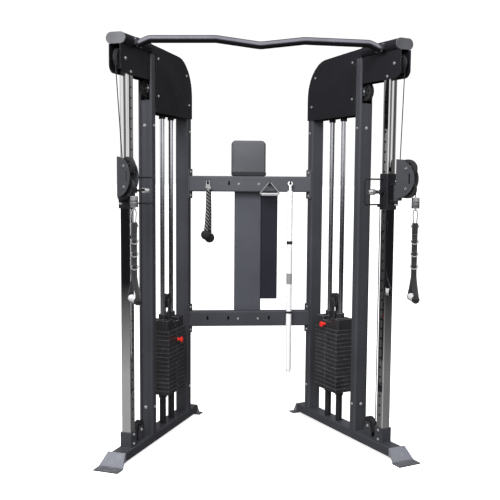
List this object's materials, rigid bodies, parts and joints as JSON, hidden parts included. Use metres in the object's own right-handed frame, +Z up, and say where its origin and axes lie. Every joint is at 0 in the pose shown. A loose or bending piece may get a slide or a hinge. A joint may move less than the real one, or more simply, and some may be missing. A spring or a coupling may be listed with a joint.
{
  "type": "cable crossover machine",
  "caption": "Twin-tower cable crossover with sliding pulley carriages, weight stacks, crossbeams, a pull-up bar and hung attachments.",
  "frame": {"origin": "on the floor under the middle of the footprint", "axes": "+Z up, +X to the right tower, +Y to the crossbeams at the back"},
  "size_m": [1.6342, 1.049, 2.1259],
  "materials": {
    "charcoal_paint": "satin charcoal powder coat with a fine texture",
    "shroud_paint": "satin charcoal powder coat on folded sheet",
    "panel_paint": "satin blue-black paint",
    "foot_paint": "satin light grey powder coat",
    "cap_plastic": "moulded grey plastic",
    "pull_up_paint": "semi-gloss black powder coat",
    "chrome": "polished chrome plate",
    "zinc": "bright zinc plate",
    "stack_black": "black enamel",
    "dark_steel": "black enamel",
    "rubber": "moulded black rubber",
    "vinyl": "grey upholstery vinyl, fine grain",
    "carriage_paint": "satin black powder coat",
    "pulley_nylon": "black glass-filled nylon",
    "red_plastic": "glossy red knob",
    "bright_steel": "bright steel",
    "webbing": "woven black nylon webbing",
    "rope_fibre": "twisted black nylon rope",
    "cable_nylon": "black nylon coating",
    "lanyard_cord": "dark coated cord"
  },
  "bodies": {
    "frame": {"arm_end_caps": "cap_plastic", "base_rails": "charcoal_paint", "centre_spine": "charcoal_paint", "column_cables": "cable_nylon", "fixed_cables": "cable_nylon", "floor_feet": "foot_paint", "frame_bolts": "zinc", "front_uprights": "charcoal_paint", "guide_columns": "chrome", "guide_rods": "chrome", "head_pad": "vinyl", "lift_cables": "cable_nylon", "lower_crossbeam": "charcoal_paint", "pull_up_bar": "pull_up_paint", "pulley_hangers": "charcoal_paint", "rear_uprights": "charcoal_paint", "shroud_panels": "shroud_paint", "side_panel": "panel_paint", "stack_bumpers": "rubber", "stack_stands": "dark_steel", "top_arms": "charcoal_paint", "upper_crossbeam": "charcoal_paint", "weight_plates": "stack_black"},
    "carriage_left": {"carriage_left": "carriage_paint"},
    "pop_pin_left": {"pop_pin_left": "bright_steel"},
    "swivel_left": {"swivel_block_left": "carriage_paint"},
    "exit_upper_left": {"exit_pulley_upper_left": "pulley_nylon"},
    "exit_lower_left": {"exit_pulley_lower_left": "pulley_nylon"},
    "handle_left": {"handle_hardware_left": "bright_steel", "handle_webbing_left": "webbing"},
    "stack_left": {"stack_head_left": "stack_black", "lanyard_left": "lanyard_cord"},
    "selector_pin_left": {"selector_pin_left": "red_plastic"},
    "floating_pulley_left": {"floating_pulley_left": "pulley_nylon"},
    "top_pulley_left": {"top_pulley_left": "pulley_nylon"},
    "shroud_rear_pulley_left": {"shroud_rear_pulley_left": "pulley_nylon"},
    "shroud_front_pulley_left": {"shroud_front_pulley_left": "pulley_nylon"},
    "upright_pulley_left": {"upright_pulley_left": "pulley_nylon"},
    "base_pulley_left": {"base_pulley_left": "pulley_nylon"},
    "carriage_right": {"carriage_right": "carriage_paint"},
    "pop_pin_right": {"pop_pin_right": "bright_steel"},
    "swivel_right": {"swivel_block_right": "carriage_paint"},
    "exit_upper_right": {"exit_pulley_upper_right": "pulley_nylon"},
    "exit_lower_right": {"exit_pulley_lower_right": "pulley_nylon"},
    "handle_right": {"handle_hardware_right": "bright_steel", "handle_webbing_right": "webbing"},
    "stack_right": {"stack_head_right": "stack_black", "lanyard_right": "lanyard_cord"},
    "selector_pin_right": {"selector_pin_right": "red_plastic"},
    "floating_pulley_right": {"floating_pulley_right": "pulley_nylon"},
    "top_pulley_right": {"top_pulley_right": "pulley_nylon"},
    "shroud_rear_pulley_right": {"shroud_rear_pulley_right": "pulley_nylon"},
    "shroud_front_pulley_right": {"shroud_front_pulley_right": "pulley_nylon"},
    "upright_pulley_right": {"upright_pulley_right": "pulley_nylon"},
    "base_pulley_right": {"base_pulley_right": "pulley_nylon"},
    "rope_set": {"rope_fitting": "bright_steel", "rope_legs": "rope_fibre", "rope_balls": "rubber"},
    "triangle": {"triangle_handle": "chrome"},
    "bar": {"long_bar": "chrome"}
  },
  "joints": [
    {"name": "carriage_slide_left", "type": "slide", "parent": "frame", "child": "carriage_left", "axis": [0, 0, 1], "range_m": [-0.7, 0.35], "deforming": ["column_cables"]},
    {"name": "pop_pin_pull_left", "type": "slide", "parent": "carriage_left", "child": "pop_pin_left", "axis": [0.9171, -0.3987, 0], "range_m": [-0.007, 0.005]},
    {"name": "swivel_turn_left", "type": "hinge", "parent": "carriage_left", "child": "swivel_left", "pos_m": [-0.68092, -0.38367, 1.3615], "axis": [0, 0, 1], "range_deg": [-141, 9]},
    {"name": "stack_lift_left", "type": "slide", "parent": "frame", "child": "stack_left", "axis": [0, 0, 1], "range_m": [0, 0.36], "deforming": ["lift_cables"]},
    {"name": "handle_pull_left", "type": "slide", "parent": "swivel_left", "child": "handle_left", "axis": [0, 0, -1], "range_m": [0, 0.72]},
    {"name": "selector_pin_pull_left", "type": "slide", "parent": "stack_left", "child": "selector_pin_left", "axis": [0.9171, -0.3987, 0], "range_m": [0, 0.09], "deforming": ["lanyard_left"]},
    {"name": "top_pulley_spin_left", "type": "hinge", "parent": "frame", "child": "top_pulley_left", "pos_m": [-0.68132, -0.38459, 1.996], "axis": [0.9171, -0.3987, 0], "continuous": true},
    {"name": "shroud_rear_pulley_spin_left", "type": "hinge", "parent": "frame", "child": "shroud_rear_pulley_left", "pos_m": [-0.47556, 0.08862, 1.996], "axis": [0.9171, -0.3987, 0], "continuous": true},
    {"name": "floating_pulley_spin_left", "type": "hinge", "parent": "stack_left", "child": "floating_pulley_left", "pos_m": [-0.47277, 0.09504, 0.752], "axis": [0.9171, -0.3987, 0], "continuous": true},
    {"name": "shroud_front_pulley_spin_left", "type": "hinge", "parent": "frame", "child": "shroud_front_pulley_left", "pos_m": [-0.50507, 0.02075, 1.885], "axis": [0.9171, -0.3987, 0], "continuous": true},
    {"name": "upright_pulley_spin_left", "type": "hinge", "parent": "frame", "child": "upright_pulley_left", "pos_m": [-0.57685, -0.14432, 1.885], "axis": [0.9171, -0.3987, 0], "continuous": true},
    {"name": "base_pulley_spin_left", "type": "hinge", "parent": "frame", "child": "base_pulley_left", "pos_m": [-0.61194, -0.22502, 0.128], "axis": [0.9171, -0.3987, 0], "continuous": true},
    {"name": "exit_upper_spin_left", "type": "hinge", "parent": "swivel_left", "child": "exit_upper_left", "pos_m": [-0.64072, -0.42754, 1.482], "axis": [0.7373, 0.6756, 0], "continuous": true},
    {"name": "exit_lower_spin_left", "type": "hinge", "parent": "swivel_left", "child": "exit_lower_left", "pos_m": [-0.64072, -0.42754, 1.382], "axis": [0.7373, 0.6756, 0], "continuous": true},
    {"name": "carriage_slide_right", "type": "slide", "parent": "frame", "child": "carriage_right", "axis": [0, 0, 1], "range_m": [-0.7, 0.35], "deforming": ["column_cables"]},
    {"name": "pop_pin_pull_right", "type": "slide", "parent": "carriage_right", "child": "pop_pin_right", "axis": [-0.9171, -0.3987, 0], "range_m": [-0.007, 0.005]},
    {"name": "swivel_turn_right", "type": "hinge", "parent": "carriage_right", "child": "swivel_right", "pos_m": [0.68092, -0.38367, 1.3615], "axis": [0, 0, 1], "range_deg": [-103, 47]},
    {"name": "stack_lift_right", "type": "slide", "parent": "frame", "child": "stack_right", "axis": [0, 0, 1], "range_m": [0, 0.36], "deforming": ["lift_cables"]},
    {"name": "handle_pull_right", "type": "slide", "parent": "swivel_right", "child": "handle_right", "axis": [0, 0, -1], "range_m": [0, 0.72]},
    {"name": "selector_pin_pull_right", "type": "slide", "parent": "stack_right", "child": "selector_pin_right", "axis": [-0.9171, -0.3987, 0], "range_m": [0, 0.09], "deforming": ["lanyard_right"]},
    {"name": "top_pulley_spin_right", "type": "hinge", "parent": "frame", "child": "top_pulley_right", "pos_m": [0.68132, -0.38459, 1.996], "axis": [0.9171, 0.3987, 0], "continuous": true},
    {"name": "shroud_rear_pulley_spin_right", "type": "hinge", "parent": "frame", "child": "shroud_rear_pulley_right", "pos_m": [0.47556, 0.08862, 1.996], "axis": [0.9171, 0.3987, 0], "continuous": true},
    {"name": "floating_pulley_spin_right", "type": "hinge", "parent": "stack_right", "child": "floating_pulley_right", "pos_m": [0.47277, 0.09504, 0.752], "axis": [0.9171, 0.3987, 0], "continuous": true},
    {"name": "shroud_front_pulley_spin_right", "type": "hinge", "parent": "frame", "child": "shroud_front_pulley_right", "pos_m": [0.50507, 0.02075, 1.885], "axis": [0.9171, 0.3987, 0], "continuous": true},
    {"name": "upright_pulley_spin_right", "type": "hinge", "parent": "frame", "child": "upright_pulley_right", "pos_m": [0.57685, -0.14432, 1.885], "axis": [0.9171, 0.3987, 0], "continuous": true},
    {"name": "base_pulley_spin_right", "type": "hinge", "parent": "frame", "child": "base_pulley_right", "pos_m": [0.61194, -0.22502, 0.128], "axis": [0.9171, 0.3987, 0], "continuous": true},
    {"name": "exit_upper_spin_right", "type": "hinge", "parent": "swivel_right", "child": "exit_upper_right", "pos_m": [0.72748, -0.42071, 1.482], "axis": [0.6225, 0.7826, 0], "continuous": true},
    {"name": "exit_lower_spin_right", "type": "hinge", "parent": "swivel_right", "child": "exit_lower_right", "pos_m": [0.72748, -0.42071, 1.382], "axis": [0.6225, 0.7826, 0], "continuous": true},
    {"name": "rope_set_swing", "type": "hinge", "parent": "frame", "child": "rope_set", "pos_m": [-0.243, 0.24394, 1.404], "axis": [0, 1, 0], "range_deg": [-10, 10]},
    {"name": "triangle_swing", "type": "hinge", "parent": "frame", "child": "triangle", "pos_m": [0.111, 0.24394, 1.404], "axis": [0, 1, 0], "range_deg": [-20, 20]},
    {"name": "bar_swing", "type": "hinge", "parent": "frame", "child": "bar", "pos_m": [0.229, 0.24394, 1.404], "axis": [0, 1, 0], "range_deg": [-5, 5]}
  ],
  "couplings": [
    {"joint": "handle_pull_left", "follows": "stack_lift_left", "ratio": 2},
    {"joint": "top_pulley_spin_left", "follows": "stack_lift_left", "rad_per_m": 45.455},
    {"joint": "shroud_rear_pulley_spin_left", "follows": "stack_lift_left", "rad_per_m": 45.455},
    {"joint": "floating_pulley_spin_left", "follows": "stack_lift_left", "rad_per_m": 27.027},
    {"joint": "shroud_front_pulley_spin_left", "follows": "carriage_slide_left", "rad_per_m": 22.727},
    {"joint": "upright_pulley_spin_left", "follows": "carriage_slide_left", "rad_per_m": 22.727},
    {"joint": "base_pulley_spin_left", "follows": "carriage_slide_left", "rad_per_m": -22.727},
    {"joint": "exit_upper_spin_left", "follows": "stack_lift_left", "rad_per_m": -45.977},
    {"joint": "exit_lower_spin_left", "follows": "stack_lift_left", "rad_per_m": 45.977},
    {"joint": "handle_pull_right", "follows": "stack_lift_right", "ratio": 2},
    {"joint": "top_pulley_spin_right", "follows": "stack_lift_right", "rad_per_m": 45.455},
    {"joint": "shroud_rear_pulley_spin_right", "follows": "stack_lift_right", "rad_per_m": 45.455},
    {"joint": "floating_pulley_spin_right", "follows": "stack_lift_right", "rad_per_m": 27.027},
    {"joint": "shroud_front_pulley_spin_right", "follows": "carriage_slide_right", "rad_per_m": 22.727},
    {"joint": "upright_pulley_spin_right", "follows": "carriage_slide_right", "rad_per_m": 22.727},
    {"joint": "base_pulley_spin_right", "follows": "carriage_slide_right", "rad_per_m": -22.727},
    {"joint": "exit_upper_spin_right", "follows": "stack_lift_right", "rad_per_m": -45.977},
    {"joint": "exit_lower_spin_right", "follows": "stack_lift_right", "rad_per_m": 45.977}
  ]
}
